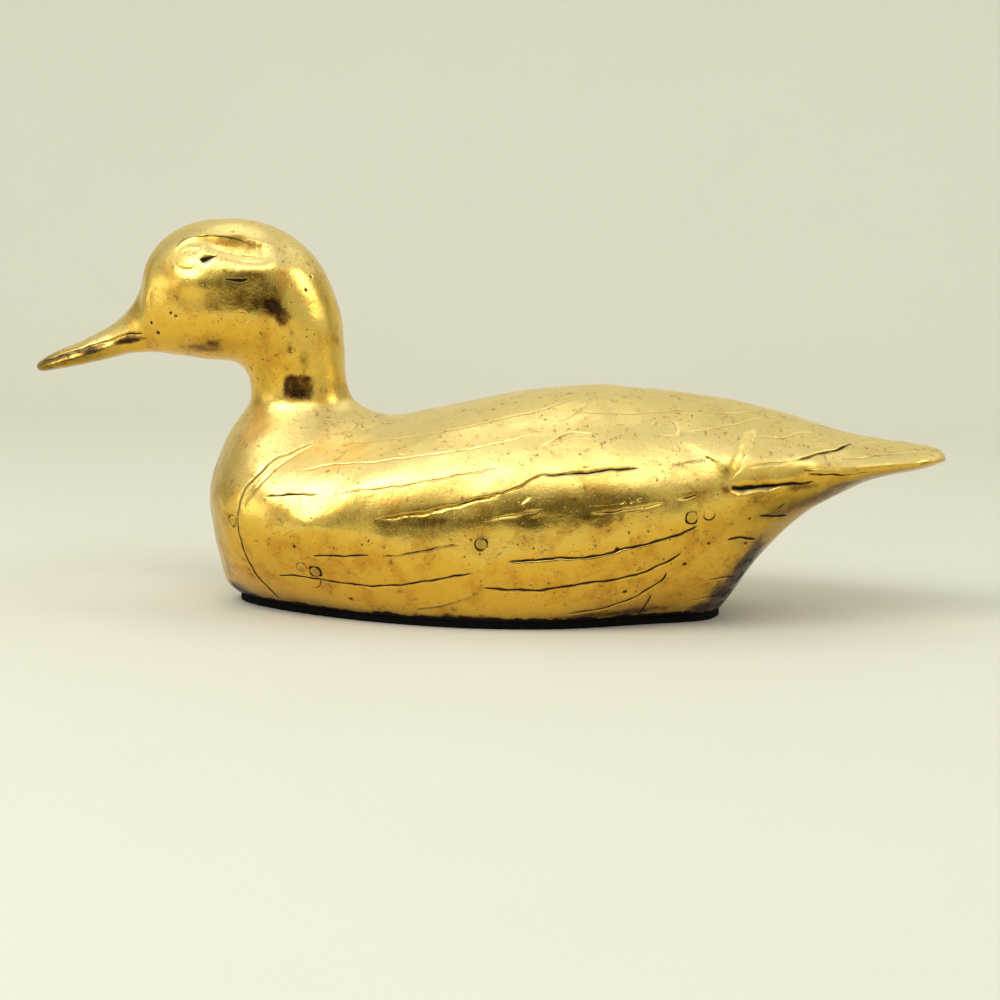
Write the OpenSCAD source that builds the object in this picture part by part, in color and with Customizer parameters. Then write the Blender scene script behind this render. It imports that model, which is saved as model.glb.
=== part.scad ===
// A hollow cast brass duck standing on a felt-covered base, in millimetres.
// The bill points along -X, the tail along +X, and the felt rests on z = 0.
// One curved surface runs from the bill over the head, neck and body to the tail.
// It is drawn through cross sections that turn with the neck and fan out round the breast.

/* [Overall] */
// Length from the tip of the bill to the tip of the tail
total_length = 300; // [240:5:360]
// Widest breadth of the body
body_breadth = 98; // [88:1:108]
// Breadth of the head across the cheeks
head_breadth = 41; // [37:0.5:45]

/* [Castings] */
// Thickness of the cast wall
wall = 4; // [3:0.5:5]
// Height of the eyeball above the cheek
eye_height = 1.2; // [0:0.1:2]
// Depth of the line between the two halves of the bill
mouth_depth = 0.5; // [0:0.1:0.8]

/* [Neck joint] */
// Outer diameter of the spigot under the head
spigot_diameter = 20; // [16:0.5:22]
// Diameter of the hole through the spigot
spigot_bore = 13; // [10:0.5:14]
// Length of the spigot below the joint
spigot_length = 8; // [6:0.5:9]

/* [Core plugs] */
// Diameter of the pins that close the core holes
plug_diameter = 3.6; // [3:0.2:5]
// Length of each pin, a little more than the wall
plug_length = 5; // [4:0.5:7]
// How far a pin's face lies under the surface round it
plug_recess = 0.2; // [0:0.1:0.5]

/* [Base] */
// Thickness of the felt pad
felt_thickness = 2.5; // [1.5:0.5:4]
// Thickness of the plate that closes the base
plate_thickness = 3; // [2:0.5:4]
// Width of the base plate, whose ends are round
plate_width = 44; // [36:1:47]
// Length of the base plate
plate_length = 112; // [96:1:116]
// Width of the ledge that the plate is soldered to
ledge_width = 3; // [2:0.5:5]
// Diameter of the vent hole in the plate
vent_diameter = 3; // [2:0.5:5]

/* [Hidden] */
$fn = 64;
brass = [0.72, 0.55, 0.20];
plug_brass = [0.62, 0.47, 0.20];
braze_brass = [0.78, 0.64, 0.30];
felt_black = [0.07, 0.07, 0.07];

// The stations are laid out for a duck of this length, body and head.
drawn_length = 300;
drawn_breadth = 98;
drawn_head = 41;
size = total_length / drawn_length;

// Each station is one cross section square to the middle plane:
// top x, top z, bottom x, bottom z, half breadth, where it is widest from top (0) to bottom (1),
// and how full it is above and below that place (2 is an ellipse, more is squarer).
bill_stations = [
    [-150.0,  77.5, -150.0, 76.0,  3.0, 0.55, 2.0, 2.0],
    [-148.5,  78.5, -149.0, 74.5,  5.5, 0.55, 1.9, 2.0],
    [-145.0,  81.0, -145.0, 75.5,  7.0, 0.60, 1.8, 2.2],
    [-135.0,  85.5, -134.0, 77.5,  7.0, 0.64, 1.8, 2.4],
    [-125.0,  90.0, -122.0, 81.0,  7.0, 0.66, 1.8, 2.4]
];
head_stations = [
    [-119.0,  97.0, -114.5, 82.0,  8.5, 0.66, 1.9, 2.3],
    [-114.5, 103.5, -108.5, 82.5, 11.5, 0.64, 2.0, 2.2],
    [-113.0, 114.0, -103.0, 81.5, 15.0, 0.60, 2.1, 2.1],
    [-105.5, 122.0,  -98.0, 81.5, 18.0, 0.58, 2.1, 2.1],
    [ -94.5, 127.0,  -93.5, 80.5, 20.0, 0.58, 2.1, 2.1],
    [ -79.5, 127.0,  -89.5, 80.5, 21.0, 0.58, 2.1, 2.1],
    [ -67.5, 124.0,  -85.0, 80.5, 20.5, 0.58, 2.1, 2.1],
    [ -56.5, 114.5,  -81.5, 79.5, 19.0, 0.55, 2.1, 2.1]
];
neck_stations = [
    [ -49.5, 102.0,  -79.0, 76.5, 17.0, 0.52, 2.0, 2.1],
    [ -47.0,  88.0,  -78.0, 74.0, 15.0, 0.50, 2.0, 2.1],
    [ -47.0,  76.0,  -78.0, 70.5, 14.0, 0.50, 2.0, 2.0],
    [ -45.0,  69.0,  -78.0, 66.0, 15.0, 0.52, 1.9, 2.0]
];
breast_stations = [
    [ -41.5,  66.0,  -84.5, 58.0, 20.5, 0.56, 1.8, 2.0],
    [ -36.0,  63.5,  -89.5, 47.0, 27.5, 0.60, 1.8, 2.1],
    [ -30.5,  62.5,  -91.5, 36.0, 34.5, 0.60, 1.9, 2.2],
    [ -23.0,  64.0,  -89.5, 24.0, 40.0, 0.58, 2.0, 2.0],
    [ -13.5,  66.0,  -87.5, 11.0, 44.0, 0.56, 2.1, 1.7],
    [  -2.5,  69.0,  -86.0,  1.5, 47.0, 0.53, 2.1, 1.4]
];
back_stations = [
    [  11.5,  72.0,  -54.0, -4.5, 48.6, 0.48, 2.1, 1.9],
    [  29.5,  75.0,   -9.5, -9.5, 49.4, 0.45, 2.1, 2.4],
    [  47.5,  74.5,   26.5, -9.0, 47.6, 0.44, 2.1, 2.2],
    [  62.5,  73.0,   53.0, -5.5, 43.5, 0.43, 2.1, 1.6],
    [  76.5,  72.0,   76.0, -3.5, 38.0, 0.42, 2.0, 1.5],
    [  90.0,  69.0,   84.5, 13.0, 33.0, 0.42, 2.0, 1.9]
];
tail_stations = [
    [ 103.0,  66.0,   98.5, 31.5, 28.0, 0.43, 1.9, 2.1],
    [ 117.0,  61.5,  113.5, 41.5, 23.0, 0.46, 1.8, 2.0],
    [ 131.0,  59.0,  128.5, 48.0, 18.0, 0.50, 1.7, 1.8],
    [ 141.5,  58.5,  140.0, 50.0, 14.0, 0.52, 1.7, 1.7],
    [ 148.5,  57.0,  147.0, 52.0,  9.5, 0.50, 1.7, 1.7],
    [ 150.0,  54.5,  150.0, 53.5,  4.0, 0.50, 1.7, 1.7]
];
stations = concat(bill_stations, head_stations, neck_stations,
    breast_stations, back_stations, tail_stations);
last_station = len(stations) - 1;

// The head ends and the body begins at these stations, with the braze between them.
head_end = 15.85;
body_start = 16;
// The bill, the tail and the rim above the base are solid: the hollow runs between these.
head_hollow_start = 6;
head_hollow_end = 15.3;
body_hollow_start = 17.6;
body_hollow_end = 30;
hollow_floor = felt_thickness + 2 * plate_thickness + 1;
plate_x = -5;
vent_x = 31;

// Steps between sections, and points on each half of a section
body_step = 0.28;
head_step = 0.36;
hollow_step = 0.55;
body_sides = 20;
head_sides = 15;
hollow_sides = 11;
// A section that closes in the air stops short of its lowest point by this angle.
keel_angle = 2;

// Eye and mouth line, as places on the side of the head
eye_x = -94;
eye_z = 115.5;
eye_radius = 5;
mouth_front = -147;
mouth_back = -112;
mouth_low = 78;
mouth_high = 86.8;
mouth_spread = 1.3;

// Core plugs as [station, angle round the section from the top]
flank_plugs = [[19.90, 126], [22.30, 122], [22.50, 122], [23.90, 97], [26.70, 94], [27.05, 94]];
cheek_plugs = [[11.10, 94], [13.40, 84]];
plug_station_step = 0.02;
plug_angle_step = 1;

// Smooth curve through the stations: a cubic spline that they steer
function blend(a, b, c, d, f) =
    (pow(1 - f, 3) * a + (3 * pow(f, 3) - 6 * pow(f, 2) + 4) * b
        + (-3 * pow(f, 3) + 3 * pow(f, 2) + 3 * f + 1) * c + pow(f, 3) * d) / 6;

function station(u) =
    let (i = min(floor(u), last_station - 1))
    let (here = stations[i], next = stations[i + 1])
    let (before = i > 0 ? stations[i - 1] : 2 * here - next)
    let (after = i + 2 <= last_station ? stations[i + 2] : 2 * next - here)
    sized(blend(before, here, next, after, u - i), u);

// The head's own breadth fades into the body's down the neck.
function breadth_factor(u) =
    let (fade = min(1, max(0, (u - 12) / 6)))
    (1 - fade) * head_breadth / drawn_head + fade * body_breadth / drawn_breadth;

function sized(s, u) =
    [size * s[0], size * s[1], size * s[2], size * s[3], breadth_factor(u) * s[4], s[5], s[6], s[7]];

// The same station moved inwards by a wall thickness
function inset_station(s, depth) =
    let (run = [s[2] - s[0], s[3] - s[1]])
    let (way = depth * run / norm(run))
    [s[0] + way[0], s[1] + way[1], s[2] - way[0], s[3] - way[1], s[4] - depth, s[5], s[6], s[7]];

// Raised eye and sunk mouth line, by place on the side of the head
function gauss(d, spread) = exp(-pow(d / spread, 2));
function eye_relief(x, z) =
    eye_height * gauss(norm([x - size * eye_x, z - size * eye_z]), size * eye_radius);
function mouth_relief(x, z) =
    let (along = (x / size - mouth_front) / (mouth_back - mouth_front))
    let (line = mouth_low + along * (mouth_high - mouth_low))
    along < 0 || along > 1 ? 0 : -mouth_depth * gauss(z / size - line, mouth_spread);

// One point of a section, at an angle round it from the top
function section_point(s, angle, relief) =
    let (c = cos(angle), full = c >= 0 ? s[6] : s[7])
    let (rise = pow(abs(c), 2 / full))
    let (down = c >= 0 ? s[5] * (1 - rise) : s[5] + (1 - s[5]) * rise)
    let (out = s[4] * pow(abs(sin(angle)), 2 / full))
    let (x = s[0] + (s[2] - s[0]) * down, z = s[1] + (s[3] - s[1]) * down)
    let (lift = relief ? eye_relief(x, z) + mouth_relief(x, z) : 0)
    [x, -sign(angle) * (out + lift), z];

// The angle at which a section meets a level, or the keel angle where it stays above it
function level_angle(s, level) =
    let (down = (s[1] - level) / (s[1] - s[3]))
    s[3] >= level ? 180 - keel_angle
        : min(180 - keel_angle, acos(-pow((down - s[5]) / (1 - s[5]), s[7] / 2)));

function section(s, level, sides, relief = false) =
    let (end = level_angle(s, level))
    [for (j = [-sides:sides]) section_point(s, end * j / sides, relief)];

// Skin over a list of sections that all have the same number of points
module skin(sections) {
    n = len(sections[0]);
    m = len(sections);
    walls = [for (i = [0:m - 2], j = [0:n - 1], half = [0:1])
        let (a = i * n + j, b = i * n + (j + 1) % n)
        half == 0 ? [a, a + n, b] : [b, a + n, b + n]];
    first_cap = [for (j = [1:n - 2]) [0, j, j + 1]];
    last = (m - 1) * n;
    last_cap = [for (j = [1:n - 2]) [last, last + j + 1, last + j]];
    polyhedron(points = [for (s = sections) each s], faces = concat(walls, first_cap, last_cap));
}

// Even steps from one station to another, both ends included
function steps(from, to, step) =
    let (count = ceil((to - from) / step))
    [for (i = [0:count]) from + (to - from) * i / count];

module outer_body() {
    skin([for (u = steps(body_start, last_station, body_step))
        section(station(u), felt_thickness, body_sides)]);
}

module outer_head(from, to) {
    skin([for (u = steps(from, to, head_step)) section(station(u), 0, head_sides, true)]);
}

module hollow(from, to) {
    skin([for (u = steps(from, to, hollow_step))
        section(inset_station(station(u), wall), hollow_floor, hollow_sides)]);
}

// Puts its children on the middle of the neck joint, square to it
module at_neck_joint() {
    s = station(body_start);
    translate([(s[0] + s[2]) / 2, 0, (s[1] + s[3]) / 2])
        rotate([0, -atan2(s[1] - s[3], s[0] - s[2]), 0]) children();
}

// Puts its children on the surface at a place, with z pointing out of the casting
module on_surface(place, side) {
    s = station(place[0]);
    p = section_point(s, side * place[1], false);
    ahead = section_point(station(place[0] + plug_station_step), side * place[1], false);
    round = section_point(s, side * (place[1] + plug_angle_step), false);
    normal = side * cross(round - p, ahead - p);
    way = normal / norm(normal);
    translate(p) rotate([0, acos(way[2]), atan2(way[1], way[0])]) children();
}

module plug_pins(places, side) {
    for (place = places)
        on_surface(place, side)
            translate([0, 0, -plug_length - plug_recess])
                cylinder(d = plug_diameter, h = plug_length, $fn = 32);
}

module plug_holes(places, side) {
    for (place = places)
        on_surface(place, side)
            translate([0, 0, -plug_length - plug_recess])
                cylinder(d = plug_diameter, h = plug_length + 2, $fn = 32);
}

// A flat shape with round ends, along X
module round_ended(length, width, height) {
    reach = (length - width) / 2;
    translate([-reach, 0, 0]) cylinder(d = width, h = height);
    translate([reach, 0, 0]) cylinder(d = width, h = height);
    translate([-reach, -width / 2, 0]) cube([2 * reach, width, height]);
}

// Outline of the body where it meets the felt
function footprint(side) =
    [for (u = steps(body_start, last_station, body_step / 2))
        let (s = station(u))
        if (s[3] < felt_thickness)
            let (p = section_point(s, side * level_angle(s, felt_thickness), false))
            [p[0], p[1]]];
function reversed(list) = [for (i = [len(list) - 1:-1:0]) list[i]];

module body_casting() {
    color(brass) difference() {
        outer_body();
        hollow(body_hollow_start, body_hollow_end);
        at_neck_joint() translate([0, 0, -spigot_length]) cylinder(d = spigot_diameter, h = spigot_length + 1);
        at_neck_joint() translate([0, 0, -spigot_length - 12]) cylinder(d = spigot_bore, h = 13);
        translate([plate_x, 0, felt_thickness - 1])
            round_ended(plate_length, plate_width, plate_thickness + 1);
        translate([plate_x, 0, felt_thickness])
            round_ended(plate_length - 2 * ledge_width, plate_width - 2 * ledge_width, hollow_floor);
        plug_holes(flank_plugs, 1);
        plug_holes(flank_plugs, -1);
    }
}

module head_casting() {
    color(brass) difference() {
        union() {
            outer_head(0, head_end);
            at_neck_joint() translate([0, 0, -spigot_length]) cylinder(d = spigot_diameter, h = spigot_length + 3);
        }
        hollow(head_hollow_start, head_hollow_end);
        at_neck_joint() translate([0, 0, -spigot_length - 1]) cylinder(d = spigot_bore, h = spigot_length + 8);
        plug_holes(cheek_plugs, 1);
        plug_holes(cheek_plugs, -1);
    }
}

module neck_braze() {
    color(braze_brass) difference() {
        outer_head(head_end, body_start);
        at_neck_joint() translate([0, 0, -1]) cylinder(d = spigot_diameter, h = 5);
    }
}

module base_plate() {
    color(brass) translate([plate_x, 0, felt_thickness]) difference() {
        round_ended(plate_length, plate_width, plate_thickness);
        translate([vent_x, 0, -1]) cylinder(d = vent_diameter, h = plate_thickness + 2);
    }
}

module felt_pad() {
    color(felt_black) linear_extrude(height = felt_thickness)
        polygon(concat(footprint(1), reversed(footprint(-1))));
}

module core_plugs_left() {
    color(plug_brass) plug_pins(flank_plugs, 1);
}

module core_plugs_right() {
    color(plug_brass) plug_pins(flank_plugs, -1);
}

module core_plugs_head() {
    color(plug_brass) {
        plug_pins(cheek_plugs, 1);
        plug_pins(cheek_plugs, -1);
    }
}

body_casting();
head_casting();
neck_braze();
base_plate();
felt_pad();
core_plugs_left();
core_plugs_right();
core_plugs_head();
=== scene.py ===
import math
import bpy
import numpy as np
from mathutils import Matrix, Vector
from mathutils.bvhtree import BVHTree
from mathutils.kdtree import KDTree


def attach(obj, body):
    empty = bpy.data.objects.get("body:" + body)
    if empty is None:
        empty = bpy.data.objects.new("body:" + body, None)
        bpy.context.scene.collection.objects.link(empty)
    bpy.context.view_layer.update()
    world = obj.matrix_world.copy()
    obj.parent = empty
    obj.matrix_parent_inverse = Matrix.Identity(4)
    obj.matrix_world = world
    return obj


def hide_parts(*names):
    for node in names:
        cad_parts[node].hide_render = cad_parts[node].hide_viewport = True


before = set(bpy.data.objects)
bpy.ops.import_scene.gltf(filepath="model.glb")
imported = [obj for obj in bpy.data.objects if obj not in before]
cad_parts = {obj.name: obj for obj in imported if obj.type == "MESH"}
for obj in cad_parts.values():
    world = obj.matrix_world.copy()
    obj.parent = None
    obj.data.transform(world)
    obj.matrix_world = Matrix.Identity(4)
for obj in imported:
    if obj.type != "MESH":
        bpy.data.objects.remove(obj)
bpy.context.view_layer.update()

mm = 0.001
print("frame loaded")

# The camera stands a little toward the tail and above the base, a good metre away.
cameraPlace = {
    "azimuth": 6.5, "elevation": 9.3, "roll": 0.7,      # degrees
    "distance": 1100.0, "target": (5.0, 0.0, 36.0),      # mm
    "pixelsPerMm": 3.035, "frame": 1000, "sensor": 36.0,
}


def cameraAxes():
    azimuth = math.radians(cameraPlace["azimuth"])
    elevation = math.radians(cameraPlace["elevation"])
    roll = math.radians(cameraPlace["roll"])
    back = Vector((math.sin(azimuth) * math.cos(elevation),
                   -math.cos(azimuth) * math.cos(elevation), math.sin(elevation)))
    level = (-back).cross(Vector((0, 0, 1))).normalized()
    upright = level.cross(-back)
    right = level * math.cos(roll) + upright * math.sin(roll)
    up = upright * math.cos(roll) - level * math.sin(roll)
    return right, up, back


def addCamera():
    right, up, back = cameraAxes()
    place = Vector(cameraPlace["target"]) + back * cameraPlace["distance"]
    data = bpy.data.cameras.new("camera")
    data.sensor_width = cameraPlace["sensor"]
    data.lens = (cameraPlace["sensor"] * cameraPlace["pixelsPerMm"] * cameraPlace["distance"]
                 / cameraPlace["frame"])
    data.clip_start = 0.05
    data.clip_end = 20
    camera = bpy.data.objects.new("camera", data)
    bpy.context.collection.objects.link(camera)
    turn = Matrix((right, up, back)).transposed().to_4x4()
    camera.matrix_world = Matrix.Translation(place * mm) @ turn
    bpy.context.scene.camera = camera


addCamera()

# The same cross sections as the castings have, from bill to tail, in mm:
# top x and z, bottom x and z, half breadth, where it is widest, fullness above and below.
duckForm = {
    "bill": [
        (-150.0, 77.5, -150.0, 76.0, 3.0, 0.55, 2.0, 2.0),
        (-148.5, 78.5, -149.0, 74.5, 5.5, 0.55, 1.9, 2.0),
        (-145.0, 81.0, -145.0, 75.5, 7.0, 0.60, 1.8, 2.2),
        (-135.0, 85.5, -134.0, 77.5, 7.0, 0.64, 1.8, 2.4),
        (-125.0, 90.0, -122.0, 81.0, 7.0, 0.66, 1.8, 2.4)],
    "head": [
        (-119.0, 97.0, -114.5, 82.0, 8.5, 0.66, 1.9, 2.3),
        (-114.5, 103.5, -108.5, 82.5, 11.5, 0.64, 2.0, 2.2),
        (-113.0, 114.0, -103.0, 81.5, 15.0, 0.60, 2.1, 2.1),
        (-105.5, 122.0, -98.0, 81.5, 18.0, 0.58, 2.1, 2.1),
        (-94.5, 127.0, -93.5, 80.5, 20.0, 0.58, 2.1, 2.1),
        (-79.5, 127.0, -89.5, 80.5, 21.0, 0.58, 2.1, 2.1),
        (-67.5, 124.0, -85.0, 80.5, 20.5, 0.58, 2.1, 2.1),
        (-56.5, 114.5, -81.5, 79.5, 19.0, 0.55, 2.1, 2.1)],
    "neck": [
        (-49.5, 102.0, -79.0, 76.5, 17.0, 0.52, 2.0, 2.1),
        (-47.0, 88.0, -78.0, 74.0, 15.0, 0.50, 2.0, 2.1),
        (-47.0, 76.0, -78.0, 70.5, 14.0, 0.50, 2.0, 2.0),
        (-45.0, 69.0, -78.0, 66.0, 15.0, 0.52, 1.9, 2.0)],
    "breast": [
        (-41.5, 66.0, -84.5, 58.0, 20.5, 0.56, 1.8, 2.0),
        (-36.0, 63.5, -89.5, 47.0, 27.5, 0.60, 1.8, 2.1),
        (-30.5, 62.5, -91.5, 36.0, 34.5, 0.60, 1.9, 2.2),
        (-23.0, 64.0, -89.5, 24.0, 40.0, 0.58, 2.0, 2.0),
        (-13.5, 66.0, -87.5, 11.0, 44.0, 0.56, 2.1, 1.7),
        (-2.5, 69.0, -86.0, 1.5, 47.0, 0.53, 2.1, 1.4)],
    "back": [
        (11.5, 72.0, -54.0, -4.5, 48.6, 0.53, 2.1, 1.9),
        (29.5, 75.0, -9.5, -9.5, 49.4, 0.52, 2.1, 2.4),
        (47.5, 74.5, 26.5, -9.0, 47.6, 0.50, 2.1, 2.2),
        (62.5, 73.0, 53.0, -5.5, 43.5, 0.47, 2.1, 1.6),
        (76.5, 72.0, 76.0, -3.5, 38.0, 0.42, 2.0, 1.5),
        (90.0, 69.0, 84.5, 13.0, 33.0, 0.42, 2.0, 1.9)],
    "tail": [
        (103.0, 66.0, 98.5, 31.5, 28.0, 0.43, 1.9, 2.1),
        (117.0, 61.5, 113.5, 41.5, 23.0, 0.46, 1.8, 2.0),
        (131.0, 59.0, 128.5, 48.0, 18.0, 0.50, 1.7, 1.8),
        (141.5, 58.5, 140.0, 50.0, 14.0, 0.52, 1.7, 1.7),
        (148.5, 57.0, 147.0, 52.0, 9.5, 0.50, 1.7, 1.7),
        (150.0, 54.5, 150.0, 53.5, 4.0, 0.50, 1.7, 1.7)],
}
stations = np.array(sum(duckForm.values(), []))
lastStation = len(stations) - 1
headEnd = 15.85
bodyStart = 16.0
feltTop = 2.5


def stationAt(u):
    # cubic spline that the stations steer, one row for each u
    u = np.clip(np.atleast_1d(u), 0, lastStation)
    here = np.minimum(u.astype(int), lastStation - 1)
    f = (u - here)[:, None]
    a, b = stations[np.maximum(here - 1, 0)], stations[here]
    c, d = stations[here + 1], stations[np.minimum(here + 2, lastStation)]
    a = np.where((here == 0)[:, None], 2 * b - c, a)
    d = np.where((here + 2 > lastStation)[:, None], 2 * c - b, d)
    return ((1 - f) ** 3 * a + (3 * f ** 3 - 6 * f ** 2 + 4) * b
            + (-3 * f ** 3 + 3 * f ** 2 + 3 * f + 1) * c + f ** 3 * d) / 6


def formPoint(u, v):
    # u runs from bill to tail, v round a section: 0 is the top, 1 and -1 the bottom
    s = stationAt(u)
    angle = np.pi * np.asarray(v, float)
    c, away = np.cos(angle), np.abs(np.sin(angle))
    upper = c >= 0
    full = np.where(upper, s[:, 6], s[:, 7])
    rise = np.abs(c) ** (2 / full)
    down = np.where(upper, s[:, 5] * (1 - rise), s[:, 5] + (1 - s[:, 5]) * rise)
    out = s[:, 4] * away ** (2 / full)
    return np.stack([s[:, 0] + (s[:, 2] - s[:, 0]) * down, -np.sign(v) * out,
                     s[:, 1] + (s[:, 3] - s[:, 1]) * down], -1)


def unit(a):
    return a / np.maximum(np.linalg.norm(a, axis=-1, keepdims=True), 1e-9)


def formNormal(u, v):
    step = 0.004
    along = formPoint(np.minimum(u + step, lastStation), v) - formPoint(np.maximum(u - step, 0), v)
    around = formPoint(u, np.clip(v + step, -1, 1)) - formPoint(u, np.clip(v - step, -1, 1))
    return unit(np.cross(around, along))


# A plain skin of the form, to find where a line of sight meets it
def plainSkin(uSteps=500, vSteps=240):
    u, v = np.meshgrid(np.linspace(0, lastStation, uSteps), np.linspace(-1, 1, vSteps), indexing="ij")
    points = formPoint(u.ravel(), v.ravel())
    i, j = np.meshgrid(np.arange(uSteps - 1), np.arange(vSteps - 1), indexing="ij")
    a = (i * vSteps + j).ravel()
    faces = np.stack([a, a + 1, a + vSteps + 1, a + vSteps], -1)
    tree = BVHTree.FromPolygons(points.tolist(), faces.tolist())
    return tree, faces, u.ravel(), v.ravel()


skinTree, skinFaces, skinU, skinV = plainSkin()


def sighted(pixels):
    # points on the near side of the form behind these pixels of the photograph, in mm
    right, up, back = cameraAxes()
    eye = Vector(cameraPlace["target"]) + back * cameraPlace["distance"]
    focal = cameraPlace["pixelsPerMm"] * cameraPlace["distance"]
    half = cameraPlace["frame"] / 2
    found = []
    for px, py in pixels:
        ray = (-back * focal + right * (px - half) - up * (py - half)).normalized()
        hit, _, face, _ = skinTree.ray_cast(eye, ray)
        if hit is None:
            hit, _, face, _ = skinTree.find_nearest(eye + ray * cameraPlace["distance"])
        found.append((hit.x, hit.y, hit.z, *smoothNormalOf(face)))
    return np.array(found)


def smoothNormalOf(face):
    corner = skinFaces[face][0]
    return formNormal(skinU[corner:corner + 1], skinV[corner:corner + 1])[0]


def smoothPath(points, spacing=1.6):
    # a curve through given points, with a point about every spacing pixels
    p = np.array(points, float)
    p = np.vstack([2 * p[0] - p[1], p, 2 * p[-1] - p[-2]])
    out = []
    for k in range(1, len(p) - 2):
        count = max(2, int(np.hypot(*(p[k + 1] - p[k])) / spacing))
        t = np.linspace(0, 1, count, endpoint=False)[:, None]
        out.append(0.5 * (2 * p[k] + (p[k + 1] - p[k - 1]) * t
                          + (2 * p[k - 1] - 5 * p[k] + 4 * p[k + 1] - p[k + 2]) * t ** 2
                          + (3 * p[k] - p[k - 1] - 3 * p[k + 1] + p[k + 2]) * t ** 3))
    return np.vstack(out + [p[-2:-1]])


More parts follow.
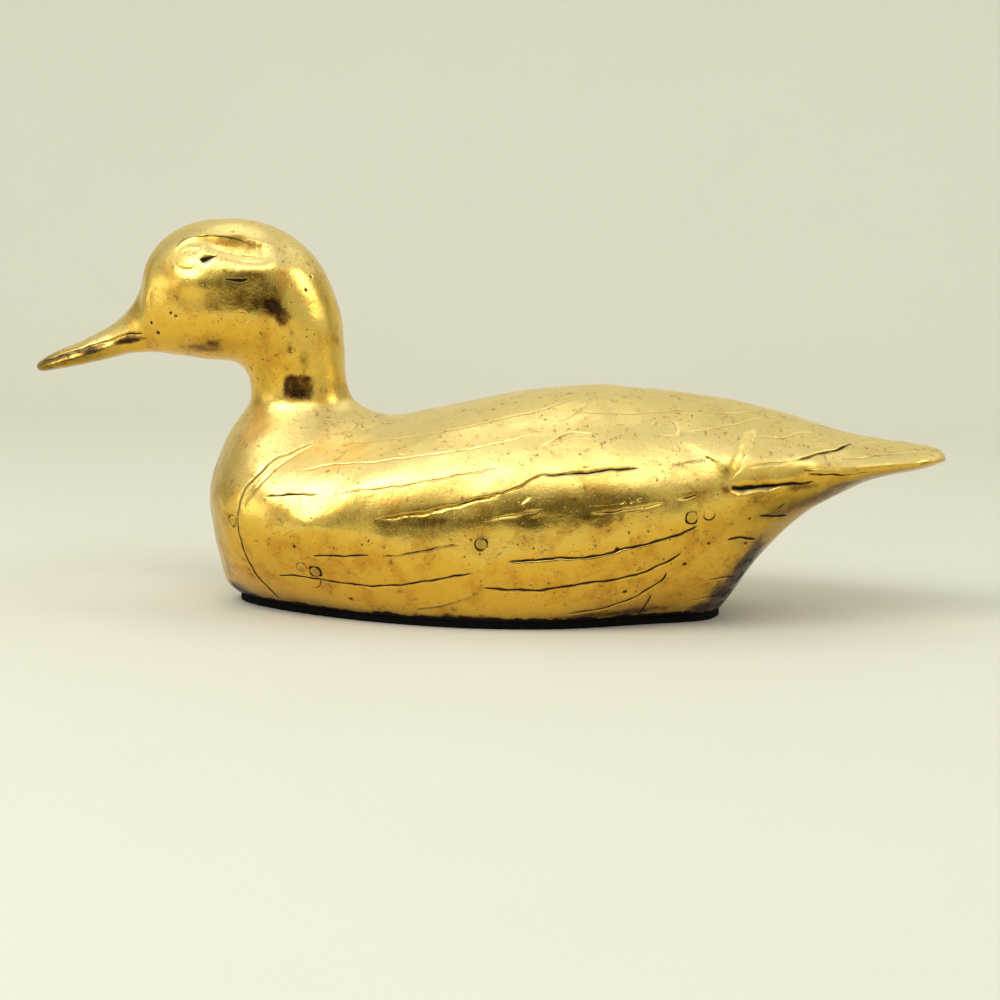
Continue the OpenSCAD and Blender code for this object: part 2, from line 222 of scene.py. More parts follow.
# Lines cut into the body. Paths are read off the photograph in its 1000 by 1000 pixels.
# depth, width, step and reach are mm: a step raises the side named by side (1 is left of the
# path as it runs, seen from outside), fading over reach. lip is the burr beside the cut, dirt
# how black the cut is. Pairs and threes of values run from the path's start to its end. What an
# entry leaves out is as in plainLine.
plainLine = {"depth": 0.0, "width": 0.45, "lip": 0.1, "side": -1, "dirt": 0.0}
bodyLines = {
    "pocketEdge": {"path": [(316, 441), (293, 451), (276, 458), (264, 469), (249, 484), (242, 495),
        (238, 511), (238, 528), (242, 544), (247, 557), (256, 573), (268, 588), (281, 600)],
        "depth": 0.5, "width": (0.4, 0.4, 0.62), "lip": 0.16, "side": 1, "dirt": (0.45, 0.6, 1.2)},
    "pocketRim": {"path": [(318, 444), (300, 452), (283, 463), (268, 476), (255, 492), (247, 501),
        (244, 512)],
        "depth": 0.3, "width": 0.55, "dirt": 0.35},
    "crownLine": {"path": [(440, 414), (502, 403), (540, 395), (585, 388)],
        "depth": 0.16, "lip": 0.16, "dirt": 0.1},
    "backLineOne": {"path": [(343, 444), (395, 439), (440, 433), (497, 420), (540, 410),
        (570, 400), (597, 391)],
        "depth": 0.2, "lip": 0.2, "dirt": 0.12},
    "backLineTwo": {"path": [(301, 470), (333, 464), (367, 463), (395, 459), (426, 455),
        (440, 453), (469, 449), (511, 440), (540, 432)],
        "depth": 0.25, "lip": 0.12, "dirt": 0.26},
    "featherTipOne": {"path": [(540, 448), (563, 436), (575, 434), (594, 434)],
        "depth": 0.28, "side": 1, "step": 0.25, "reach": 7, "dirt": 0.3},
    "backLineThree": {"path": [(336, 493), (391, 488), (440, 479), (481, 471), (500, 466)],
        "depth": 0.25, "lip": 0.08, "dirt": 0.3},
    "shortCut": {"path": [(263, 497), (290, 495), (322, 494)],
        "depth": 0.3, "width": 0.36, "lip": 0.08, "side": 1, "dirt": (0.5, 0.7, 0.5)},
    "wingEdge": {"path": [(374, 520), (386, 518), (400, 516), (422, 513), (440, 509), (460, 504),
        (485, 498), (503, 494)],
        "depth": 0.45, "width": (0.4, 0.62, 0.36), "lip": 0.2, "step": -0.75, "reach": 8,
        "dirt": (0.35, 0.62, 0.5)},
    "wingEdgeLower": {"path": [(480, 521), (497, 518), (511, 516), (524, 513), (544, 510)],
        "depth": 0.2, "width": 0.6, "lip": 0.18, "dirt": 0.4},
    "covertRear": {"path": [(500, 495), (513, 490), (524, 486), (533, 480), (541, 476), (549, 473)],
        "depth": 0.25, "width": 0.5, "lip": 0.08, "side": 1, "step": 0.25, "reach": 8,
        "dirt": 0.35},
    "covertNick": {"path": [(520, 505), (525, 501), (531, 496)],
        "depth": 0.22, "lip": 0.2, "dirt": 0.2},
    "primaryOne": {"path": [(540, 476), (583, 473), (611, 470), (642, 468)],
        "depth": 0.5, "width": 0.5, "lip": 0.14, "dirt": 0.8},
    "primaryOneEnd": {"path": [(668, 465), (690, 462), (712, 458)],
        "depth": 0.22, "lip": 0.08, "dirt": 0.36},
    "primaryTwo": {"path": [(588, 514), (619, 511), (654, 505), (668, 502)],
        "depth": 0.28, "lip": 0.12, "dirt": 0.5},
    "primaryTwoEnd": {"path": [(676, 500), (688, 497), (700, 494)],
        "depth": 0.28, "width": 0.4, "lip": 0.06, "dirt": (0.2, 0.9, 0.4)},
    "flankOne": {"path": [(310, 555), (330, 556), (371, 556)],
        "depth": 0.42, "dirt": 0.95},
    "flankOneEnd": {"path": [(380, 556), (402, 555), (422, 551), (441, 547), (461, 544)],
        "depth": 0.25, "width": 0.4, "lip": 0.08, "dirt": 0.6},
    "flankTwo": {"path": [(276, 575), (300, 577), (335, 582), (362, 586), (390, 586), (428, 581),
        (462, 575), (474, 572)],
        "depth": 0.5, "width": 0.48, "lip": 0.12, "dirt": 1.0},
    "covertLower": {"path": [(517, 526), (511, 539), (502, 549), (493, 561), (487, 574),
        (483, 585), (476, 594), (458, 602), (440, 606), (414, 610)],
        "depth": 0.15, "width": 0.8, "lip": 0.0, "step": 0.55, "reach": 10, "slope": 1.8,
        "dirt": (0.1, 0.2, 0.7)},
    "flankThree": {"path": [(505, 561), (526, 561), (545, 559), (592, 557), (619, 550), (638, 546),
        (672, 537), (688, 531), (700, 525)],
        "depth": 0.65, "width": 0.55, "lip": 0.14, "dirt": 1.0},
    "flankFour": {"path": [(480, 589), (510, 590), (540, 590), (579, 585), (633, 576), (663, 565),
        (675, 558), (684, 551)],
        "depth": 0.62, "width": 0.55, "lip": 0.14, "dirt": 1.0},
    "flankFive": {"path": [(565, 614), (601, 609), (636, 596), (660, 582), (669, 571)],
        "depth": 0.55, "width": 0.5, "lip": 0.12, "dirt": 0.95},
    "flankSix": {"path": [(638, 616), (645, 605), (654, 592)],
        "depth": 0.45, "width": 0.5, "dirt": 0.9},
    "scapularRight": {"path": [(597, 393), (626, 395), (672, 398), (720, 401)],
        "depth": 0.2, "lip": 0.18, "dirt": 0.12},
    "scapularLeft": {"path": [(597, 393), (589, 402), (581, 410), (570, 417), (558, 422)],
        "depth": 0.2, "lip": 0.14, "side": 1, "dirt": 0.15},
    "tertialOne": {"path": [(579, 413), (626, 413), (642, 413), (670, 411), (695, 411), (720, 413),
        (759, 411)],
        "depth": 0.24, "width": 0.42, "lip": 0.12, "dirt": 0.26},
    "tertialTwo": {"path": [(682, 434), (708, 430), (733, 426), (747, 421), (759, 418), (792, 417)],
        "depth": 0.28, "dirt": 0.3},
    "rumpLine": {"path": [(751, 436), (782, 438), (800, 434), (818, 432)],
        "depth": 0.25, "width": 0.42, "lip": 0.12, "dirt": 0.3},
    "wingTip": {"path": [(755, 429), (747, 438), (741, 447), (738, 457), (734, 466), (729, 474),
        (722, 481)],
        "width": 0.6, "lip": 0.0, "step": (1.5, 1.5, 1.3, 0.3), "reach": 11,
        "slope": (2.0, 6.0, 3.0)},
    "wingTipFoot": {"path": [(757, 431), (752, 440), (750, 450), (746, 460), (741, 468),
        (734, 476), (727, 483)],
        "depth": 0.22, "dirt": 0.35},
    "wingTipCut": {"path": [(728, 489), (735, 488), (748, 488), (765, 487), (782, 485), (800, 484),
        (817, 481)],
        "depth": (1.6, 1.4, 0.5), "width": (1.5, 0.95, 0.45), "lip": 0.3, "step": -0.5, "reach": 6,
        "dirt": 1.0},
    "tailCovertOne": {"path": [(749, 467), (770, 464), (794, 460)],
        "depth": 0.28, "width": 0.42, "dirt": 0.4},
    "tailCovertTwo": {"path": [(794, 461), (812, 457), (838, 450), (846, 446), (854, 442)],
        "depth": 0.45, "width": 0.5, "lip": 0.12, "side": 1, "step": 0.5, "reach": 7, "dirt": 0.7},
    "tailLineOne": {"path": [(854, 442), (885, 443), (917, 445)],
        "depth": 0.2, "width": 0.42, "lip": 0.14, "dirt": 0.2},
    "tailLineTwo": {"path": [(838, 459), (860, 458), (877, 456), (905, 454), (930, 452)],
        "depth": 0.3, "width": 0.42, "lip": 0.12, "dirt": 0.4},
    "tailEdge": {"path": [(803, 473), (826, 474.5), (850, 474.5), (875, 471.5), (897, 469),
        (916, 465.5), (934, 461.5)],
        "depth": 0.35, "width": 0.5, "lip": 0.2, "side": 1, "step": 0.7, "reach": 5,
        "dirt": (0.6, 0.9, 0.9, 0.7)},
    "underTailOne": {"path": [(757, 516), (770, 517), (789, 516)],
        "depth": 0.7, "width": 0.6, "lip": 0.14, "dirt": 1.0},
    "underTailFork": {"path": [(778, 510), (782, 507), (785, 504)],
        "depth": 0.4, "lip": 0.05, "dirt": 0.9},
    "underTailTwo": {"path": [(724, 542), (733, 539), (743, 538), (757, 540)],
        "depth": 0.65, "width": 0.6, "lip": 0.14, "dirt": 1.0},
    "underTailThree": {"path": [(705, 580), (720, 577), (737, 576)],
        "depth": 0.35, "lip": 0.16, "dirt": 0.7},
    "underTailFour": {"path": [(689, 602), (703, 598), (720, 593)],
        "depth": 0.35, "lip": 0.16, "dirt": 0.7},
    "shallowRing": {"path": [(308, 582), (310, 578), (316, 577.5), (321, 581), (320, 586),
        (315, 588), (310, 586), (308, 582.5)],
        "depth": 0.2, "width": 0.32, "lip": 0.05, "dirt": 0.55},
    "backOval": {"path": [(656, 429), (660, 423), (668, 421), (676, 424), (678, 430), (673, 435),
        (663, 435), (657, 431)],
        "depth": 0.16, "width": 0.36, "dirt": 0.2},
    "neckNick": {"path": [(320, 419), (332, 422), (346, 427)],
        "depth": 0.14, "lip": 0.05, "dirt": 0.2},
}

# Lines and soft forms on the head, read and written the same way
headLines = {
    # browHollow's tint paints shade into the hollow under the brow, darkest near its upper edge
    "browHollow": {"path": [(177, 254), (181, 249), (187, 246), (195, 244), (203, 243), (211, 245),
        (219, 248), (230, 251), (244, 254), (257, 256), (268, 257), (276, 258)],
        "width": 0.6, "lip": 0.0, "side": 1, "soft": 1, "tint": 0.95,
        "hollow": (0.2, 0.6, 1.2, 1.6, 1.4, 0.3), "span": (1.9, 3.2, 4.8, 6.6, 6.2, 4.0)},
    "browCrease": {"path": [(175, 251), (177, 246), (180, 242), (186, 238), (199, 236), (214, 235),
        (235, 238), (250, 242), (265, 248), (272, 254)],
        "width": 0.34, "lip": 0.0, "dirt": (0.85, 0.6, 0.5, 0.35, 0.2), "soft": 1},
    "hollowFoot": {"path": [(240, 253), (248, 254), (256, 254)],
        "depth": 0.12, "width": 0.35, "lip": 0.2, "dirt": 0.45},
    "lidFold": {"path": [(178, 254), (182, 250), (189, 247), (198, 246), (207, 247), (216, 250)],
        "depth": (-0.18, -0.28, -0.1), "width": (1.0, 1.1, 1.0), "lip": 0.0, "soft": 1},
    "lidLower": {"path": [(174, 263), (177, 267), (183, 270), (190, 270), (197, 267)],
        "depth": 0.14, "width": 0.6, "lip": 0.0, "dirt": 0.34, "soft": 1},
    "eyePit": {"path": [(200, 262), (203, 260), (207, 258.5), (212, 257), (218, 255.5)],
        "depth": (0.9, 0.7, 0.2), "width": (1.6, 1.15, 0.25), "lip": 0.0, "dirt": 1.5, "soft": 1},
    "cheekSlit": {"path": [(222, 279), (229, 279), (234, 280), (241, 280.5), (250, 279.5)],
        "width": (0.24, 0.95, 0.75), "lip": 0.0, "dirt": (0.6, 1.6, 1.5)},
    "mouthLine": {"path": [(42, 361), (55, 357), (66, 353), (90, 346), (112, 339), (128, 334),
        (145, 333)],
        "depth": 0.2, "width": 0.42, "lip": 0.0, "step": -0.5, "reach": 2.4, "slope": 0.9,
        "dirt": (0.35, 0.6, 0.7), "dirtReach": 1.9},
    "mouthLower": {"path": [(44, 370), (58, 366), (80, 360), (103, 353), (122, 347), (138, 341)],
        "depth": 0.08, "width": 0.42, "lip": 0.08, "dirt": (0.2, 0.5, 0.3)},
    "billRoot": {"path": [(152, 286), (149, 296), (149, 306), (151, 316)],
        "depth": 0.12, "width": 0.9, "step": 0.45, "reach": 3.0, "slope": 1.6, "dirt": 0.1},
    "throatCrackOne": {"path": [(249, 366), (251, 368), (253, 371)],
        "depth": 0.2, "width": 0.3, "lip": 0.0, "side": 1, "dirt": 0.7},
    "throatCrackTwo": {"path": [(256, 377), (259, 381)],
        "depth": 0.2, "width": 0.3, "lip": 0.0, "side": 1, "dirt": 0.7},
}
softForms = {  # at: pixel, size: mm along x and z, raise: mm
    "eyeBall": {"at": (187, 261), "size": (3.4, 2.4), "raise": 0.35},
    "cheekFront": {"at": (192, 282), "size": (6.0, 3.4), "raise": 0.9},
    "cheekRear": {"at": (258, 269), "size": (14.0, 3.2), "raise": 0.65},
    "jaw": {"at": (232, 300), "size": (12.0, 4.5), "raise": -0.35},
    "flankSwell": {"at": (496, 545), "size": (8.0, 6.0), "raise": 0.45},
    "chapletMark": {"at": (534, 519), "size": (4.0, 2.4), "raise": -0.4},
    "rearSwell": {"at": (660, 500), "size": (16.0, 8.0), "raise": 0.5},
    "pocketHollow": {"at": (262, 540), "size": (6.0, 16.0), "raise": 0.35},
}

# Plugs in the core holes, by station and angle from the top, as the castings have them
corePlugs = {
    "left": [(19.9, 126), (22.3, 121), (22.5, 120.5), (23.9, 91.5), (26.7, 91.5), (27.05, 93)],
    "head": [(11.1, 94), (13.4, 84)],
    "radius": 1.8, "groove": 0.5, "grooveWidth": 0.36, "proud": 0.03, "dome": 0.10,
    # how strongly each ring shows, how square it is and how lopsided
    "strength": [0.65, 0.75, 1.0, 1.0, 0.9, 0.8, 0.3, 0.3],
    "square": [2, 2, 5, 2, 3, 2, 2, 2],
    "lopsided": [0.2, 0.3, 0.2, 0.3, 0.45, 0.95, 0.5, 0.6],
}
# Casting pits: pixel, radius and depth in mm
castingPits = [
    ((294, 547), 0.5, 0.5), ((351, 599), 0.75, 0.7), ((625, 592), 0.8, 0.7),
    ((636, 592), 0.4, 0.4), ((685, 565), 0.6, 0.6), ((709, 544), 0.5, 0.5), ((746, 544), 0.7, 0.5),
    ((629, 532), 0.35, 0.4), ((640, 500), 0.35, 0.4), ((256, 541), 0.35, 0.3),
    ((171, 313), 0.6, 0.3), ((176, 316), 0.6, 0.35), ((151, 323), 0.6, 0.3),
    ((158, 333), 0.7, 0.3), ((306, 290), 0.5, 0.3), ((311, 277), 0.5, 0.25),
    ((545, 419), 0.35, 0.3), ((471, 540), 0.45, 0.3), ((750, 519), 0.5, 0.3),
    ((617, 549), 0.8, 0.5)]


def linePoints(line):
    sight = sighted(smoothPath(line["path"]))
    points, normals = sight[:, :3], sight[:, 3:]
    keep = np.r_[True, np.linalg.norm(np.diff(points, axis=0), axis=1) > 0.05]
    points, normals = points[keep], normals[keep]
    # the graver's hand shakes a little, the same way each run
    rng = np.random.default_rng(len(line["path"]) + int(abs(line["path"][0][0])))
    along = np.r_[0, np.cumsum(np.linalg.norm(np.diff(points, axis=0), axis=1))]
    shake = sum(h * np.sin(along / w * 6.28 + rng.uniform(0, 6.28)) for w, h in ((11.0, 0.14), (5.1, 0.07)))
    across = unit(np.cross(normals, np.gradient(points, axis=0)))
    return points + across * shake[:, None], normals


def lineField(points, line):
    # distance to the line, signed side and the share of the way along it, for points near it
    path, normals = line["points"], line["normals"]
    a, b = path[:-1], path[1:]
    run = b - a
    length = np.linalg.norm(run, axis=1)
    walked = np.r_[0, np.cumsum(length)]
    rel = points[:, None, :] - a[None]
    t = np.clip((rel * run[None]).sum(-1) / (length ** 2)[None], 0, 1)
    gap = rel - t[..., None] * run[None]
    far = np.linalg.norm(gap, axis=-1)
    best = far.argmin(1)
    pick = np.arange(len(points))
    side = unit(np.cross(normals[:-1], run))
    signed = (gap[pick, best] * side[best]).sum(-1)
    along = walked[best] + t[pick, best] * length[best]
    return far[pick, best], np.where(signed < 0, -1.0, 1.0), along, walked[-1]


def smoothStep(x):
    x = np.clip(x, 0, 1)
    return x * x * (3 - 2 * x)


def valueAlong(line, key, share, standard=0.0):
    # a value that may run from the start over the middle to the end of the path
    value = np.atleast_1d(np.array(line.get(key, standard), float))
    return np.interp(share, np.linspace(0, 1, len(value)), value) if len(value) > 1 else value[0] + 0 * share


# What all cuts share, in mm: how far they are drawn, the narrowest one that is modelled, how far
# off its lip stands and how broad it is, in widths, and what share of depth and lip is modelled
graver = {
    "drawn": 4.6, "narrowest": 0.55, "lipAt": 1.9, "lipBroad": 0.8, "fineDepth": 0.38, "fineLip": 0.45,
    "ends": 5.0, "stepEnds": 6, "past": 2.6, "fineBelow": 0.9,
}


def taperOf(along, total, ends):
    # 1 along the line, falling to nothing at its ends
    return smoothStep(along / ends + 0.1) * smoothStep((total - along) / ends + 0.1)


def carveLines(points, lines, lift, dirt, tarnishAndShade, cuts):
    nearest = [np.full(len(points), 9.0) for _ in cuts]
    for line in lines.values():
        reachMost = float(np.max(line.get("reach", 0)))
        margin = max(graver["drawn"], graver["past"] * reachMost, 3 * float(np.max(line["width"])),
                     1.3 * float(np.max(line.get("span", 0))))
        low, high = line["points"].min(0) - margin, line["points"].max(0) + margin
        near = np.nonzero(((points > low) & (points < high)).all(1))[0]
        if not len(near):
            continue
        far, side, along, total = lineField(points[near], line)
        side = side * line["side"]
        share = along / total
        taper = taperOf(along, total, min(graver["ends"], total / 3))
        width = (valueAlong(line, "width", share) * (0.7 + 0.3 * taper)
                 * (1 + 0.16 * np.sin(along * 0.9 + 3 * total)))
        depth = valueAlong(line, "depth", share) * (1 + 0.15 * np.sin(along * 0.7 + total))
        broad = np.maximum(width, graver["narrowest"])
        cut = np.exp(-(far / broad) ** 2)
        lip = np.exp(-((side * far - graver["lipAt"] * broad) / (graver["lipBroad"] * broad)) ** 2)
        # the finest part of a cut is left to the shader's relief
        fine = (width < graver["fineBelow"]) & ("soft" not in line)
        change = taper * (-np.where(fine, graver["fineDepth"], 1.0) * depth * cut
                          + graver["fineLip"] * line["lip"] * lip)
        if "hollow" in line:
            # sinks evenly from the far edge to the path, and comes back sharply past it
            way = side * far / valueAlong(line, "span", share)
            sunk = np.where(way > 0, 1 - np.clip(way, 0, 1) ** 2.4, np.exp(-(far / graver["past"]) ** 2))
            change = change - valueAlong(line, "hollow", share) * sunk * taper
            # painted shade in the hollow, through the tint
            shade = smoothStep((way + 0.05) / 0.7) * smoothStep((1.1 - way) / 0.14)
            inner = smoothStep(share / 0.40 + 0.1) * smoothStep((1 - share) / 0.45)
            tarnishAndShade[near] = np.maximum(tarnishAndShade[near], line["tint"] * shade * inner)
        if "step" in line:
            reach = valueAlong(line, "reach", share)
            slope = valueAlong(line, "slope", share, 0.9)
            over = smoothStep(side * far / slope + 0.5) * np.exp(-np.maximum(side * far, 0) / reach)
            fadeOut = 1 - smoothStep((far - 1.4 * reach) / reach)
            change = change + (valueAlong(line, "step", share) * over
                               * taperOf(along, total, graver["stepEnds"]) * fadeOut)
        lift[near] += change
        black = valueAlong(line, "dirt", share)
        if "dirtReach" in line:
            waves = np.sin(along * 0.42 + 2.3) * np.sin(along * 0.17 + 1.1)
            patches = 0.45 + 0.55 * smoothStep(0.5 + 0.8 * waves)
            half = 0.5 * line["dirtReach"]
            inside = np.exp(-((side * far - half) / half) ** 2)
            dirt[near] = np.maximum(dirt[near], black * taper * patches * inside)
        # signed distance in widths, blackness and depth, for the shader to draw the cut by
        kept, gap = cuts[line["channel"]], nearest[line["channel"]]
        mine = (far < gap[near]) & (far < graver["drawn"])
        at = near[mine]
        gap[at] = far[mine]
        fade = (taper * (1 - smoothStep((far - 1.1) / 0.9)))[mine]
        kept[at, 0] = (side * far / width)[mine]
        kept[at, 1] = black[mine] * np.minimum(1, 1.6 * fade)
        kept[at, 2] = depth[mine] * fade * fine[mine] * (1 if line["lip"] > 0 else -1)


def carveSpots(points, spots, lift, dirt):
    for at, size, amount, dirty in spots:
        d = (points - at) / size
        fall = np.exp(-(d ** 2).sum(1))
        lift += amount * fall
        dirt[:] = np.maximum(dirt, dirty * fall)


def carvePlugs(points, lift, rings):
    for k, (at, normal) in enumerate(zip(plugPoints, plugNormals)):
        gap = points - at
        near = np.nonzero((gap ** 2).sum(1) < 16)[0]
        if not len(near):
            continue
        across = unit(np.cross(normal, [0, 0, 1.0]))
        rise = np.cross(across, normal)
        x, y = gap[near] @ across, gap[near] @ rise
        p = corePlugs["square"][k]
        far = (np.abs(x) ** p + np.abs(y) ** p) ** (1 / p)
        turn = np.arctan2(y, x)
        rim = corePlugs["radius"] * (1 + 0.07 * np.sin(2 * turn + k) + 0.06 * np.sin(3 * turn + 2 * k))
        faint = corePlugs["lopsided"][k] * (0.5 + 0.5 * np.sin(turn + 1.3 * k))
        strength = corePlugs["strength"][k] * (1 - faint)
        ring = np.exp(-((far - rim) / 0.45) ** 2)
        lift[near] -= (0.55 * corePlugs["groove"] * strength * ring
                       + 0.5 * smoothStep((corePlugs["radius"] - 0.1 - far) / 0.3))
        fade = 1 - smoothStep((np.abs(far - rim) - 0.8) / 0.7)
        rings[near, 0] = (far - rim) / corePlugs["grooveWidth"]
        rings[near, 1] = strength * fade
        rings[near, 2] = corePlugs["groove"] * strength * fade


def unevenness(points):
    # hand-filed waviness of the casting, a few hundredths of a mm, the same each run
    rng = np.random.default_rng(7)
    total = np.zeros(len(points))
    for wave, height in ((30.0, 0.16), (17.0, 0.12), (9.5, 0.055), (5.5, 0.024)):
        for _ in range(5):
            way = rng.normal(size=3)
            way = way / np.linalg.norm(way) * 2 * np.pi / (wave * rng.uniform(0.8, 1.25))
            total += height / 2.2 * np.sin(points @ way + rng.uniform(0, 6.28))
    return total


for lines in (bodyLines, headLines):
    for line in lines.values():
        for key, value in plainLine.items():
            line.setdefault(key, value)
        line["points"], line["normals"] = linePoints(line)


def shareChannels(lines):
    # lines that run close together are drawn from different attributes
    placed = []
    for line in lines.values():
        taken = {other["channel"] for other in placed
                 if np.linalg.norm(line["points"][:, None] - other["points"][None], axis=-1).min() < 4.0}
        line["channel"] = min(set(range(9)) - taken)
        placed.append(line)
    return max(line["channel"] for line in placed) + 1


cutChannels = max(shareChannels(bodyLines), shareChannels(headLines))
print("cut channels", cutChannels)


def spotList():
    spots = []
    for form in softForms.values():
        at = sighted([form["at"]])[0]
        spots.append((at[:3], np.array([form["size"][0], 12.0, form["size"][1]]), form["raise"], 0.0))
    for pixel, radius, depth in castingPits:
        at = sighted([pixel])[0]
        spots.append((at[:3], np.array([radius] * 3), -depth, 0.95))
    return spots


allSpots = spotList()


def plugPlaces(places):
    u = np.array([p[0] for p in places])
    v = np.array([p[1] for p in places]) / 180
    return formPoint(u, v), formNormal(u, v)


plugPoints, plugNormals = plugPlaces(corePlugs["left"] + corePlugs["head"])


def liftAt(base, withPlugs=True):
    # how far the carving moves the plain form, its dirt and its cuts; the far side as the near side
    mirrored = np.column_stack([base[:, 0], -np.abs(base[:, 1]), base[:, 2]])
    lift, dirt, tarnishAndShade = np.zeros(len(base)), np.zeros(len(base)), np.zeros(len(base))
    cuts = [np.tile([6.0, 0.0, 0.0], (len(base), 1)) for _ in range(cutChannels + 1)]
    carveSpots(mirrored, allSpots, lift, dirt)
    if withPlugs:
        carvePlugs(mirrored, lift, cuts[-1])
    carveLines(mirrored, bodyLines, lift, dirt, tarnishAndShade, cuts[:-1])
    headCuts = [np.tile([6.0, 0.0, 0.0], (len(base), 1)) for _ in range(cutChannels)]
    carveLines(mirrored, headLines, lift, dirt, tarnishAndShade, headCuts)
    for kept, other in zip(cuts, headCuts):
        closer = np.abs(other[:, 0]) < np.abs(kept[:, 0])
        kept[closer] = other[closer]
    lift += unevenness(base) * (1 - np.exp(-(base[:, 2] / 6) ** 2))
    return lift, dirt, tarnishAndShade, cuts


room = {"edges": (149.95, 48.85, 126.8), "ease": 0.12}      # mm from the middle and from the floor


def keptInside(base, normal, lift):
    # no carving stands out of the castings' own length, breadth and height
    for axis, edge in enumerate(room["edges"]):
        away = np.sign(base[:, axis]) * normal[:, axis]
        outward = away > 0.25
        most = (edge - np.abs(base[outward, axis])) / away[outward]
        lift[outward] = most - room["ease"] * np.logaddexp(0, (most - lift[outward]) / room["ease"])
    return lift


def carved(u, v):
    base = formPoint(u, v)
    lift, dirt, tarnishAndShade, cuts = liftAt(base)
    normal = formNormal(u, v)
    return base + normal * keptInside(base, normal, lift)[:, None], dirt, tarnishAndShade, cuts


def finePlaces(lines):
    points = [line["points"] for line in lines.values()]
    points += [np.array([spot[0]]) for spot in allSpots if spot[1].max() < 13 and spot[1].min() < 3]
    angles = np.linspace(0, 2 * np.pi, 12, endpoint=False)[:, None]
    for at, normal in zip(plugPoints, plugNormals):
        across = unit(np.cross(normal, [0, 0, 1.0]))
        rise = np.cross(across, normal)
        points.append(at + corePlugs["radius"] * (np.cos(angles) * across + np.sin(angles) * rise))
    points = np.vstack(points)
    tree = KDTree(2 * len(points))
    for k, p in enumerate(points):
        tree.insert((p[0], p[1], p[2]), 2 * k)
        tree.insert((p[0], -p[1], p[2]), 2 * k + 1)
    tree.balance()
    return tree


def deselect():
    if bpy.context.object and bpy.context.object.mode != "OBJECT":
        bpy.ops.object.mode_set(mode="OBJECT")
    bpy.ops.object.select_all(action="DESELECT")


def active(obj):
    deselect()
    obj.select_set(True)
    bpy.context.view_layer.objects.active = obj


def coordinates(mesh):
    flat = np.empty(len(mesh.vertices) * 3)
    mesh.vertices.foreach_get("co", flat)
    return flat.reshape(-1, 3)


def setCoordinates(mesh, points):
    mesh.vertices.foreach_set("co", np.ascontiguousarray(points, dtype=np.float32).ravel())
    mesh.update()


def setLayer(obj, key, values):
    layer = obj.data.attributes.get(key) or obj.data.attributes.new(key, "FLOAT", "POINT")
    layer.data.foreach_set("value", values.astype(np.float32))


def faceCentres(mesh):
    flat = np.empty(len(mesh.polygons) * 3)
    mesh.polygons.foreach_get("center", flat)
    return flat.reshape(-1, 3)


def flatToForm(points, uFrom, uTo):
    return uFrom + (points[:, 0] + 1) / 2 * (uTo - uFrom), np.clip(points[:, 1], -1, 1)


def objectMode():
    bpy.ops.object.mode_set(mode="OBJECT")


def editMode(obj, kind="FACE", action="SELECT"):
    active(obj)
    bpy.ops.object.mode_set(mode="EDIT")
    bpy.ops.mesh.select_mode(type=kind)
    bpy.ops.mesh.select_all(action=action)


def selectFaces(obj, chosen):
    editMode(obj, action="DESELECT")
    objectMode()
    obj.data.polygons.foreach_set("select", chosen)
    bpy.ops.object.mode_set(mode="EDIT")


def outward():
    bpy.ops.mesh.select_all(action="SELECT")
    bpy.ops.mesh.normals_make_consistent(inside=False)
    objectMode()


def refineNear(obj, uFrom, uTo, tree, reach):
    centres = formPoint(*flatToForm(faceCentres(obj.data), uFrom, uTo))
    close = np.array([tree.find(p)[2] < (reach if p[1] < 0 else 0.65 * reach) for p in centres])
    selectFaces(obj, close)
    bpy.ops.mesh.subdivide(number_cuts=1)
    objectMode()


def wrappedSheet(name, uFrom, uTo, columns, rows, tree, reaches):
    # a flat sheet, cut finer near the carving, then wrapped round the form
    deselect()
    bpy.ops.mesh.primitive_grid_add(x_subdivisions=columns, y_subdivisions=rows, size=2, location=(0, 0, 0))
    obj = bpy.context.object
    obj.name = name
    obj.data.name = name
    for reach in reaches:
        refineNear(obj, uFrom, uTo, tree, reach)
    points, dirt, tarnishAndShade, cuts = carved(*flatToForm(coordinates(obj.data), uFrom, uTo))
    setCoordinates(obj.data, points * mm)
    setLayer(obj, "dirt", dirt)
    setLayer(obj, "tarnishAndShade", tarnishAndShade)
    for k, cut in enumerate(cuts):
        layer = obj.data.attributes.new("cut%d" % k, "FLOAT_VECTOR", "POINT")
        layer.data.foreach_set("vector", cut.astype(np.float32).ravel())
    editMode(obj)
    bpy.ops.mesh.remove_doubles(threshold=0.02 * mm)
    outward()
    return obj


def closeEnds(obj):
    editMode(obj, "EDGE", "DESELECT")
    bpy.ops.mesh.select_non_manifold(extend=False, use_wire=False, use_boundary=True,
                                     use_multi_face=False, use_non_contiguous=False, use_verts=False)
    bpy.ops.mesh.fill_holes(sides=0)
    outward()


def cutBase(obj):
    editMode(obj)
    bpy.ops.mesh.bisect(plane_co=(0, 0, feltTop * mm), plane_no=(0, 0, 1), use_fill=True, clear_inner=True)
    objectMode()


def bevelEdges(obj, width, segments):
    bevel = obj.modifiers.new("edge", "BEVEL")
    bevel.width = width * mm
    bevel.segments = segments
    bevel.limit_method = "ANGLE"
    bpy.ops.object.modifier_apply(modifier="edge")


def smoothShade(obj, angle=38):
    active(obj)
    bpy.ops.object.shade_smooth_by_angle(angle=math.radians(angle))


def addPiece(obj, material, node):
    obj.data.materials.clear()
    obj.data.materials.append(material)
    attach(obj, "root")
    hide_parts(node)


